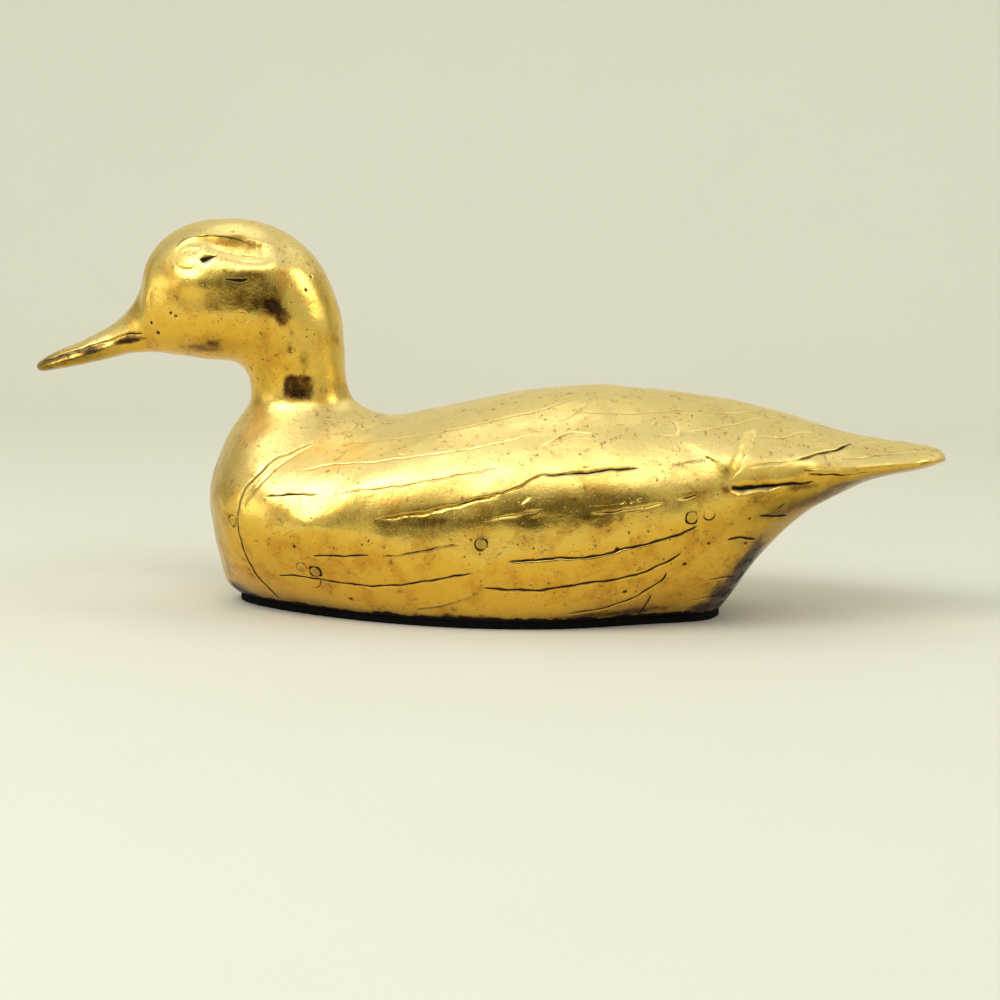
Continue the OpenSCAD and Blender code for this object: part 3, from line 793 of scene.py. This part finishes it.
# Materials
class Wire:
    # what comes out of a node: sums, products and ranges of it add further nodes
    def __init__(self, made, output=0):
        self.tree, self.socket = made.id_data, made.outputs[output]

    def math(self, operation, a, b=0.0, clamp=False):
        return Wire(node(self.tree, "ShaderNodeMath", {0: a, 1: b}, operation=operation, use_clamp=clamp))

    def __add__(self, other):
        return self.math("ADD", self, other)

    def __sub__(self, other):
        return self.math("SUBTRACT", self, other)

    def __rsub__(self, other):
        return self.math("SUBTRACT", other, self)

    def __mul__(self, other):
        return self.math("MULTIPLY", self, other)

    def most(self, other):
        return self.math("MAXIMUM", self, other)

    def size(self):
        return self.math("ABSOLUTE", self)

    def ranged(self, fromLow, fromHigh, toLow=0.0, toHigh=1.0):
        limits = {"From Min": fromLow, "From Max": fromHigh, "To Min": toLow, "To Max": toHigh}
        return Wire(node(self.tree, "ShaderNodeMapRange", {"Value": self, **limits},
                         interpolation_type="SMOOTHSTEP"), "Result")

    def axes(self):
        parts = node(self.tree, "ShaderNodeSeparateXYZ", {"Vector": self})
        return [Wire(parts, axis) for axis in "XYZ"]


def feed(made, inputs):
    for key, value in inputs.items():
        if isinstance(value, Wire):
            made.id_data.links.new(value.socket, made.inputs[key])
        else:
            made.inputs[key].default_value = value
    return made


def node(tree, kind, inputs=None, **settings):
    made = tree.nodes.new(kind)
    for key, value in settings.items():
        setattr(made, key, value)
    return feed(made, inputs or {})


def shader(name):
    material = bpy.data.materials.new(name)
    material.use_nodes = True
    tree = material.node_tree
    return material, tree, tree.nodes["Principled BSDF"], Wire(node(tree, "ShaderNodeTexCoord"), "Object")


def noise(where, scale, detail=4.0, rough=0.55):
    return Wire(node(where.tree, "ShaderNodeTexNoise",
                     {"Vector": where, "Scale": scale, "Detail": detail, "Roughness": rough}), "Fac")


def attribute(tree, name, output="Fac"):
    return Wire(node(tree, "ShaderNodeAttribute", attribute_name=name), output)


def mix(factor, a, b):
    return Wire(node(factor.tree, "ShaderNodeMix", {0: factor, 6: a, 7: b}, data_type="RGBA"), 2)


brassLook = {
    "bright": (0.95, 0.76, 0.29, 1), "warm": (0.85, 0.59, 0.115, 1), "paintedShadeBelow": (0.79, 0.475, 0.055, 1),
    "tarnishAndShade": (0.27, 0.18, 0.022, 1), "patina": (0.19, 0.105, 0.018, 1),
    "brown": (0.055, 0.024, 0.006, 1), "black": (0.006, 0.003, 0.002, 1),
    "ember": (0.30, 0.09, 0.012, 1), "blotch": (0.58, 0.27, 0.025, 1), "pore": (0.09, 0.045, 0.01, 1),
    "roughTop": 0.38, "roughSide": 0.235, "coat": 0.05, "coatRough": 0.25,
}
# Brown and black heat stains, some of them painted reflection and painted shade as marked below:
# pixel, size in mm, strength, lean in degrees and how square, where they aren't level and round
stainsAndShades = [
    # the cheek patch and the square neck patch, the first eight: partly stains, partly a painted reflection
    # of a dark thing
    ((274, 308), (5.4, 2.6), 0.98, -38), ((281, 319), (3.4, 2.2), 0.75, -50),
    ((257, 301), (2.6, 3.6), 0.5), ((240, 298), (10.0, 4.5), 0.3),
    ((299, 387), (4.9, 4.1), 0.66, 0, 5), ((291, 379), (2.4, 1.6), 0.85),
    ((306, 379), (2.0, 1.4), 0.8), ((287, 388), (1.4, 3.6), 0.85), ((291, 334), (1.6, 2.6), 0.36),
    ((290, 348), (1.2, 2.6), 0.48), ((304, 360), (2.2, 5.0), 0.42), ((262, 336), (2.6, 2.6), 0.3),
    ((232, 316), (3.6, 2.4), 0.24), ((202, 348), (9.0, 2.0), 0.4), ((213, 344), (3.0, 1.2), 0.62),
    ((91, 351), (4.4, 1.0), 0.95, 14), ((128, 341), (5.4, 1.0), 0.98, 12),
    ((46, 366), (4.6, 2.6), 0.28), ((68, 360), (6.0, 1.6), 0.42, 14),
    # along the rear contour, from here to (726, 592), and (712, 606) and (757, 545): painted reflection of
    # the shaded floor, partly black stain
    ((733, 562), (7.0, 10.0), 0.34, -38), ((753, 553), (3.0, 6.0), 0.7, -40),
    ((746, 564), (3.6, 8.0), 0.95, -38), ((737, 578), (4.4, 8.0), 1.0, -40),
    # (226, 243) and (250, 246): painted shade in the brow hollow
    ((726, 592), (5.4, 6.0), 1.0, -42), ((226, 243), (7.0, 1.5), 0.36, -4),
    # (792, 508) to (868, 479), and (760, 500) and (806, 487): painted shade under the tail
    ((250, 246), (7.0, 2.0), 0.4, -14), ((792, 508), (16.0, 2.6), 0.38, 16),
    ((822, 495), (14.0, 2.6), 0.5, 18), ((850, 484), (10.0, 1.6), 0.5, 14),
    ((712, 606), (8.0, 3.2), 0.95, 8), ((236, 587), (4.5, 1.8), 1.0, -26),
    ((838, 487), (9.0, 1.2), 0.42, 14), ((868, 479), (10.0, 0.9), 0.4, 8),
    ((246, 592), (8.0, 2.2), 0.85, -24), ((228, 566), (2.4, 5.5), 0.3),
    # (430, 522) and (590, 520): painted shade and painted reflection in the dark band below the wing
    ((534, 519), (5.2, 2.6), 0.4), ((430, 522), (17.0, 2.6), 0.44, 4),
    ((590, 520), (22.0, 2.6), 0.3, 2), ((726, 490), (1.6, 1.4), 0.45),
    # (460, 618) and (600, 615): partly black stain, partly painted shade at the foot of the flank
    ((760, 500), (8.0, 3.0), 0.26, 8), ((460, 618), (24.0, 1.4), 0.6),
    ((600, 615), (24.0, 1.6), 0.6, 4), ((806, 487), (9.0, 1.6), 0.4, 6),
    ((757, 545), (2.2, 5.0), 0.55, -40)]


# Smooth brown tarnish, with painted shade and painted reflection where marked, written the same way
tarnishAndShadeSpots = [
    # (505, 517) and (428, 512): painted shade and painted reflection in the dark band below the wing; (800,
    # 503) and (860, 482): painted shade under the tail
    ((505, 517), (46.0, 3.6), 0.36, 3), ((800, 503), (22.0, 5.4), 0.86, 14),
    # (255, 297): partly tarnish, partly a painted reflection of a dark thing on the cheek
    ((860, 482), (26.0, 2.8), 0.75, 10), ((255, 297), (11.0, 4.6), 0.4, -8),
    # (214, 505): painted shade along the breast's edge
    ((214, 505), (7.0, 26.0), 0.36, 4), ((82, 358), (15.0, 2.6), 0.85, 15),
    # (762, 528): painted reflection of the shaded floor along the rear contour, partly tarnish
    ((45, 365), (4.5, 3.6), 0.85), ((762, 528), (8.0, 10.0), 0.35, -36),
    ((235, 345), (26.0, 2.2), 0.25), ((324, 400), (2.0, 16.0), 0.1),
    ((264, 385), (2.2, 12.0), 0.4), ((330, 240), (8.0, 6.0), 0.12, -40),
    ((428, 512), (12.0, 2.0), 0.3, 8), ((232, 521), (1.5, 2.1), 0.35, 0, 3),
    ((481, 545), (1.4, 1.8), 0.6, 0, 3), ((316, 570), (1.7, 1.8), 0.6, 0, 4),
    ((303, 568), (1.5, 1.7), 0.35, 0, 3), ((692, 518), (2.2, 1.6), 0.35, 30, 3)]


def spread(points, places):
    total = np.zeros(len(points))
    for pixel, size, strength, *more in places:
        lean, square = more + [0, 2][len(more):]
        gap = points - sighted([pixel])[0][:3]
        c, q = math.cos(math.radians(lean)), math.sin(math.radians(lean))
        along, rise = c * gap[:, 0] + q * gap[:, 2], c * gap[:, 2] - q * gap[:, 0]
        inward = gap[:, 1] / max(12.0, 3 * size[0])
        d = np.abs(np.column_stack([along / size[0], inward, rise / size[1]]))
        total = np.maximum(total, strength * np.exp(-(d ** square).sum(1)))
    return total


def stainAndShadeField(obj):
    points = coordinates(obj.data) / mm
    points = np.column_stack([points[:, 0], -np.abs(points[:, 1]), points[:, 2]])
    setLayer(obj, "stainAndShade", spread(points, stainsAndShades))
    before = np.zeros(len(points), dtype=np.float32)
    if "tarnishAndShade" in obj.data.attributes:
        obj.data.attributes["tarnishAndShade"].data.foreach_get("value", before)
    setLayer(obj, "tarnishAndShade", np.maximum(before, spread(points, tarnishAndShadeSpots)))


def dots(where, scale, radius, chance):
    # round pores: some cells of a cell pattern have a dark dot at their middle
    cells = node(where.tree, "ShaderNodeTexVoronoi", {"Vector": where, "Scale": scale})
    dot = Wire(cells, "Distance").ranged(radius, 0.45 * radius)
    pick = Wire(node(where.tree, "ShaderNodeSeparateColor", {"Color": Wire(cells, "Color")}), "Red")
    return dot * pick.ranged(1 - chance, 1 - chance + 0.02)


def engraving(tree, medium, fine):
    # the engraved cuts, from their signed distances: how black they are, and their relief in mm
    wander = (fine - 0.5) * 0.55
    gaps = (medium - 0.5) * 1.5
    black, relief = [], []
    for k in range(cutChannels + 1):
        ring = k == cutChannels
        gap, strength, depth = attribute(tree, "cut%d" % k, "Vector").axes()
        away = gap.size()
        line = (away + wander * (2.2 if ring else 1.0)).ranged(*((1.6, 0.5) if ring else (0.95, 0.38)))
        black.append(line * (strength + gaps * strength.ranged(0.02, 0.2)).ranged(0.22, 0.80))
        groove = away.ranged(1.1, 0.0, 0.0, -0.42)
        lip = (gap - graver["lipAt"]).size().ranged(0.9, 0.0, 0.0, 0.10)
        relief.append(groove * depth.size() + lip * depth.most(0.0))
    blackest = black[0]
    for other in black[1:]:
        blackest = blackest.most(other)
    return blackest, sum(relief[1:], relief[0])


def brassMaterial(name, pitted=1.0):
    material, tree, bsdf, where = shader(name)
    facing = Wire(node(tree, "ShaderNodeNewGeometry"), "Normal").axes()[2]
    height = where.axes()[2]
    broad = noise(where, 26)
    medium = noise(where, 105, 6, 0.62)
    fine = noise(where, 480, 6, 0.68)
    grain = noise(where, 2200, 3, 0.6)
    drawn = Wire(node(tree, "ShaderNodeMapping", {"Vector": where, "Scale": (1.0, 1.0, 0.12)}), "Vector")
    strokes = noise(drawn, 900, 3, 0.6)
    # colour by facing: paler where it faces up, painted light as if lit from above, where it is also dulled;
    # warmer on the sides; deepest where it faces down, painted shade
    turned = facing + (broad - 0.5) * 0.35
    up = turned.ranged(0.22, 0.75)
    colour = mix(up, brassLook["warm"], brassLook["bright"])
    # pores of the casting, thick in some places
    pores = dots(where, 420, 0.20, 0.22).most(dots(where, 1000, 0.27, 0.22))
    pores = pores * (broad.ranged(0.40, 0.62) * 0.65 + 0.35) * pitted
    ragged = (medium - 0.5) * 0.8 + (fine - 0.5) * 0.7
    stainAndShade = attribute(tree, "stainAndShade")
    stainAndShade = stainAndShade + ragged * stainAndShade.ranged(0.02, 0.30)
    blackestStainAndShade = stainAndShade.ranged(0.70, 1.0)
    dirt = attribute(tree, "dirt")
    dirt = dirt + ragged * dirt.ranged(0.05, 0.30)
    cutBlack, cutRelief = engraving(tree, medium, fine)
    grime = dirt.ranged(0.45, 0.85).most(cutBlack)
    # black that creeps up from the felt: partly black staining, partly painted shade where the rim turns
    # under towards the floor
    rim = (height * 1000 + (0.5 - medium) * 4.0 + (0.5 - fine) * 2.4).ranged(4.6, 3.6)
    layers = (
        # painted shade where the surface faces down
        (turned.ranged(0.16, -0.22), "paintedShadeBelow"),
        (medium.ranged(0.46, 0.66, 0, 0.62) * (1.0 - up * 0.75), "blotch"),
        (fine.ranged(0.56, 0.70, 0, 0.25), "bright"),
        (pores * 0.9, "pore"),
        (fine.ranged(0.55, 0.66, 0, 0.7) * medium.ranged(0.44, 0.58), "patina"),
        (attribute(tree, "tarnishAndShade") * medium.ranged(0.25, 0.75, 0.8, 1.2), "tarnishAndShade"),
        (stainAndShade.ranged(0.12, 0.50, 0, 0.85), "patina"),
        (stainAndShade.ranged(0.34, 0.50, 0, 0.28), "ember"),
        (stainAndShade.ranged(0.42, 0.72, 0, 0.95), "brown"),
        (blackestStainAndShade, "black"),
        (dirt.ranged(0.15, 0.50, 0, 0.8), "brown"),
        (grime, "black"),
        (rim, "black"),
    )
    for amount, tone in layers:
        colour = mix(amount, colour, brassLook[tone])
    cover = grime.most(rim).most(blackestStainAndShade)
    bare = 1.0 - cover
    rough = up * (brassLook["roughTop"] - brassLook["roughSide"]) + brassLook["roughSide"]
    rough = rough + (medium - 0.5) * 0.20 + (strokes - 0.5) * 0.10
    relief = fine * 0.7 + medium * 1.6 + grain * 0.16 + strokes * 0.05 - pores * 0.8
    bump = Wire(node(tree, "ShaderNodeBump", {"Height": relief, "Strength": 0.40, "Distance": 0.0003}))
    engraved = node(tree, "ShaderNodeBump", {"Height": cutRelief, "Strength": 1.0, "Distance": 0.001,
                                             "Normal": bump})
    feed(bsdf, {
        "Base Color": colour, "Metallic": bare, "Specular IOR Level": 0.5 - cover * 0.35,
        "Roughness": rough.math("ADD", rough, cover * 0.35, clamp=True),
        "Coat Weight": bare * brassLook["coat"], "Coat Roughness": brassLook["coatRough"],
        "Normal": Wire(engraved)})
    return material


feltLook = {
    "dark": (0.002, 0.002, 0.002, 1), "pale": (0.008, 0.0075, 0.007, 1), "lint": (0.05, 0.045, 0.035, 1),
}


def feltMaterial():
    material, tree, bsdf, where = shader("blackFelt")
    fibre = noise(where, 1500, 6, 0.7)
    lint = noise(where, 700).ranged(0.64, 0.76, 0, 0.35)
    colour = mix(lint, mix(fibre, feltLook["dark"], feltLook["pale"]), feltLook["lint"])
    bump = node(tree, "ShaderNodeBump", {"Height": fibre, "Strength": 0.8, "Distance": 0.0006})
    feed(bsdf, {"Base Color": colour, "Roughness": 0.95, "Specular IOR Level": 0.12, "Normal": Wire(bump)})
    return material


# Pieces
brass = brassMaterial("wornBrass")
felt = feltMaterial()
print("materials made")

# Each casting's sheet: its stations, its divisions, and how near the carving it is cut finer, in mm
bodySheet = {"from": bodyStart, "to": lastStation, "columns": 186, "rows": 160, "reaches": (1.9, 1.0)}
headSheet = {"from": 0, "to": headEnd, "columns": 204, "rows": 128, "reaches": (3.0, 1.3)}


def makeCasting(name, nodeName, sheet, lines):
    obj = wrappedSheet(name, sheet["from"], sheet["to"], sheet["columns"], sheet["rows"],
                       finePlaces(lines), sheet["reaches"])
    if sheet is bodySheet:
        cutBase(obj)
    closeEnds(obj)
    stainAndShadeField(obj)
    smoothShade(obj)
    addPiece(obj, brass, nodeName)
    print(nodeName, len(obj.data.polygons), "faces")


def makeBraze():
    obj = wrappedSheet("neck_braze_ring", headEnd, bodyStart, 3, 110, None, ())
    closeEnds(obj)
    stainAndShadeField(obj)
    smoothShade(obj)
    addPiece(obj, brass, "neck_braze")


makeCasting("body_casting_skin", "body_casting", bodySheet, bodyLines)
makeCasting("head_casting_skin", "head_casting", headSheet, headLines)
makeBraze()


# One plug is modelled and copied to each core hole
def plugBlank():
    deselect()
    radius = corePlugs["radius"] - 0.12
    bpy.ops.mesh.primitive_cylinder_add(vertices=32, radius=radius * mm, depth=2.0 * mm, end_fill_type="NGON",
                                        location=(0, 0, -1.0 * mm))
    obj = bpy.context.object
    bpy.ops.object.transform_apply(location=True, rotation=True, scale=True)
    selectFaces(obj, [face.normal.z > 0.9 for face in obj.data.polygons])
    for rise in (0.55, 0.3, 0.15):
        bpy.ops.mesh.inset(thickness=0.4 * mm, depth=0)
        bpy.ops.transform.translate(value=(0, 0, corePlugs["dome"] * rise * mm))
    objectMode()
    bevelEdges(obj, 0.08, 2)
    return obj


def plugGroup(name, places, sides, nodeName):
    blank = plugBlank()
    points, normals = plugPlaces(places)
    copies = []
    for side in sides:
        flip = np.array([1, side, 1])
        lift = keptInside(points * flip, normals * flip, liftAt(points * flip, withPlugs=False)[0])
        for at, way in zip((points + normals * lift[:, None]) * flip, normals * flip):
            at, way = Vector(at), Vector(way)
            copy = blank.copy()
            copy.data = blank.data.copy()
            bpy.context.collection.objects.link(copy)
            turn = way.to_track_quat("Z", "Y").to_matrix().to_4x4()
            copy.data.transform(Matrix.Translation((at + way * corePlugs["proud"]) * mm) @ turn)
            copies.append(copy)
    bpy.data.objects.remove(blank)
    deselect()
    for copy in copies:
        copy.select_set(True)
    bpy.context.view_layer.objects.active = copies[0]
    bpy.ops.object.join()
    obj = copies[0]
    obj.name = name
    obj.data.name = name
    smoothShade(obj, 50)
    stainAndShadeField(obj)
    addPiece(obj, plugBrass, nodeName)


plugBrass = brassMaterial("plugBrass", 0.5)
plugGroup("core_plug_faces_left", corePlugs["left"], (1,), "core_plugs_left")
plugGroup("core_plug_faces_right", corePlugs["left"], (-1,), "core_plugs_right")
plugGroup("core_plug_faces_head", corePlugs["head"], (1, -1), "core_plugs_head")
print("plugs made")


# Felt pad: the outline of the base, cut a little unevenly, with a soft edge
def footprint(steps=900):
    u = np.linspace(bodyStart, lastStation, steps)
    s = stationAt(u)
    keep = s[:, 3] < feltTop
    u, s = u[keep], s[keep]
    down = (s[:, 1] - feltTop) / (s[:, 1] - s[:, 3])
    angle = np.arccos(-((down - s[:, 5]) / (1 - s[:, 5])) ** (s[:, 7] / 2))
    return formPoint(u, angle / np.pi)


def makeFelt():
    half = footprint()
    outline = np.vstack([half, (half * [1, -1, 1])[::-1]])[:, :2]
    closed = np.vstack([outline, outline[:1]])
    walked = np.r_[0, np.cumsum(np.linalg.norm(np.diff(closed, axis=0), axis=1))]
    count = 420
    at = np.linspace(0, walked[-1], count, endpoint=False)
    ring = np.column_stack([np.interp(at, walked, closed[:, k]) for k in (0, 1)])
    deselect()
    bpy.ops.mesh.primitive_circle_add(vertices=count, radius=1, fill_type="NGON", location=(0, 0, 0))
    obj = bpy.context.object
    obj.name = "felt_pad_cut"
    order = np.argsort(np.arctan2(coordinates(obj.data)[:, 1], coordinates(obj.data)[:, 0]))
    ringOrder = np.argsort(np.arctan2(ring[:, 1], ring[:, 0] + 5))
    placed = np.zeros((count, 3))
    placed[order, :2] = ring[ringOrder]
    setCoordinates(obj.data, placed * mm)
    editMode(obj)
    bpy.ops.mesh.extrude_region_move(TRANSFORM_OT_translate={"value": (0, 0, feltTop * mm)})
    outward()
    bevelEdges(obj, 0.45, 3)
    points = coordinates(obj.data) / mm
    away = unit(np.column_stack([points[:, 0] + 5, points[:, 1] * 3, np.zeros(len(points))]))
    ripple = 0.16 * np.sin(points[:, 0] * 1.9) * np.sin(points[:, 0] * 0.37 + 1) - 0.12
    setCoordinates(obj.data, (points + away * ripple[:, None]) * mm)
    smoothShade(obj, 60)
    addPiece(obj, felt, "felt_pad")


makeFelt()
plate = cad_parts["base_plate"]
plate.data.materials.clear()
plate.data.materials.append(plugBrass)
print("felt made")


# Floor and backdrop in one sweep, as a table against a wall
stageLook = {
    "front": -2.6, "bend": 0.42, "rise": 0.35, "top": 2.2, "half": 3.0, "steps": 16,      # m
    "wall": ((0.665, 0.66, 0.555, 1), (0.70, 0.695, 0.59, 1)),
    "table": ((0.705, 0.70, 0.605, 1), (0.735, 0.73, 0.635, 1)),
}


def sweepProfile():
    bend, rise = stageLook["bend"], stageLook["rise"]
    profile = [(stageLook["front"], 0.0), (bend, 0.0)]
    for k in range(1, stageLook["steps"] + 1):
        angle = math.pi / 2 * k / stageLook["steps"]
        profile.append((bend + rise * math.sin(angle), rise * (1 - math.cos(angle))))
    return profile + [(bend + rise, stageLook["top"])]


def sweepMaterial():
    material, tree, bsdf, where = shader("paleSweep")
    mottled = noise(where, 9, 3)
    # the wall is painted a little darker than the table, as painted shade; both are mottled
    colour = mix(where.axes()[1].ranged(0.05, 0.50), mix(mottled, *stageLook["table"]),
                 mix(mottled, *stageLook["wall"]))
    feed(bsdf, {"Base Color": colour, "Roughness": 0.85})
    # seen from behind the wall is clear, so that the duck can be looked at from every side
    behind = Wire(node(tree, "ShaderNodeNewGeometry"), "Backfacing")
    clear = Wire(node(tree, "ShaderNodeBsdfTransparent"), "BSDF")
    sides = node(tree, "ShaderNodeMixShader", {0: behind, 1: Wire(bsdf, "BSDF"), 2: clear})
    feed(tree.nodes["Material Output"], {"Surface": Wire(sides, "Shader")})
    return material


def addStage():
    deselect()
    bpy.ops.mesh.primitive_plane_add(size=2, location=(0, 0, 0))
    obj = bpy.context.object
    obj.name = "floorAndWall"
    profile = sweepProfile()
    verts = [(side * stageLook["half"], y, z) for y, z in profile for side in (-1, 1)]
    faces = [(2 * k, 2 * k + 1, 2 * k + 3, 2 * k + 2) for k in range(len(profile) - 1)]
    obj.data.clear_geometry()
    obj.data.from_pydata(verts, [], faces)
    for face in obj.data.polygons:
        face.use_smooth = True
    obj.data.materials.append(sweepMaterial())


def addSoftbox(name, place, size, power):
    data = bpy.data.lights.new(name, "AREA")
    data.shape = "RECTANGLE"
    data.size, data.size_y = size
    data.energy = power
    data.color = roomLook["lamp"]
    light = bpy.data.objects.new(name, data)
    bpy.context.collection.objects.link(light)
    light.location = place
    light.rotation_euler = (Vector(roomLook["aim"]) - Vector(place)).to_track_quat("-Z", "Y").to_euler()


def addWorld():
    # a pale room that is dim in front of the duck
    world = bpy.data.worlds.new("room")
    bpy.context.scene.world = world
    world.use_nodes = True
    tree = world.node_tree
    azimuth, elevation = (math.radians(angle) for angle in roomLook["dimAt"])
    narrow, wide = (math.cos(math.radians(angle)) for angle in roomLook["dimReach"])
    toward = (math.sin(azimuth) * math.cos(elevation), -math.cos(azimuth) * math.cos(elevation),
              math.sin(elevation))
    way = Wire(node(tree, "ShaderNodeTexCoord"), "Generated")
    near = Wire(node(tree, "ShaderNodeVectorMath", {0: way, 1: toward}, operation="DOT_PRODUCT"), "Value")
    colour = mix(near.ranged(wide, narrow), roomLook["pale"], roomLook["dim"])
    feed(tree.nodes["Background"], {"Color": colour, "Strength": roomLook["strength"]})


def around(azimuth, elevation, distance):
    azimuth, elevation = math.radians(azimuth), math.radians(elevation)
    return (distance * math.sin(azimuth) * math.cos(elevation),
            -distance * math.cos(azimuth) * math.cos(elevation),
            roomLook["aim"][2] + distance * math.sin(elevation))


roomLook = {
    "pale": (1.0, 0.985, 0.93, 1), "dim": (0.10, 0.075, 0.045, 1), "strength": 0.64,
    "dimAt": (6, 1), "dimReach": (16, 31),      # degrees
    "aim": (0, 0, 0.05), "lamp": (1.0, 0.985, 0.95),
}
# Lamps round the duck: azimuth and elevation in degrees, distance and size in m, power in W
lamps = {
    "lampLeft": (-48, 43, 1.25, (0.50, 0.62), 5.9),
    "lampLow": (-72, 8, 1.25, (0.56, 0.44), 0.75),
    "lampRight": (78, 27, 1.30, (0.42, 0.42), 2.4),
    "lampFront": (2, 53, 1.35, (1.20, 0.52), 3.9),
    "lampRear": (125, 46, 1.30, (0.60, 0.60), 0.9),
    "lampBack": (-158, 68, 1.30, (0.40, 0.40), 1.0),
}
addStage()
addWorld()
for name, (azimuth, elevation, distance, size, power) in lamps.items():
    addSoftbox(name, around(azimuth, elevation, distance), size, power)
bpy.context.scene.view_settings.view_transform = "Standard"
print("stage and lights made")
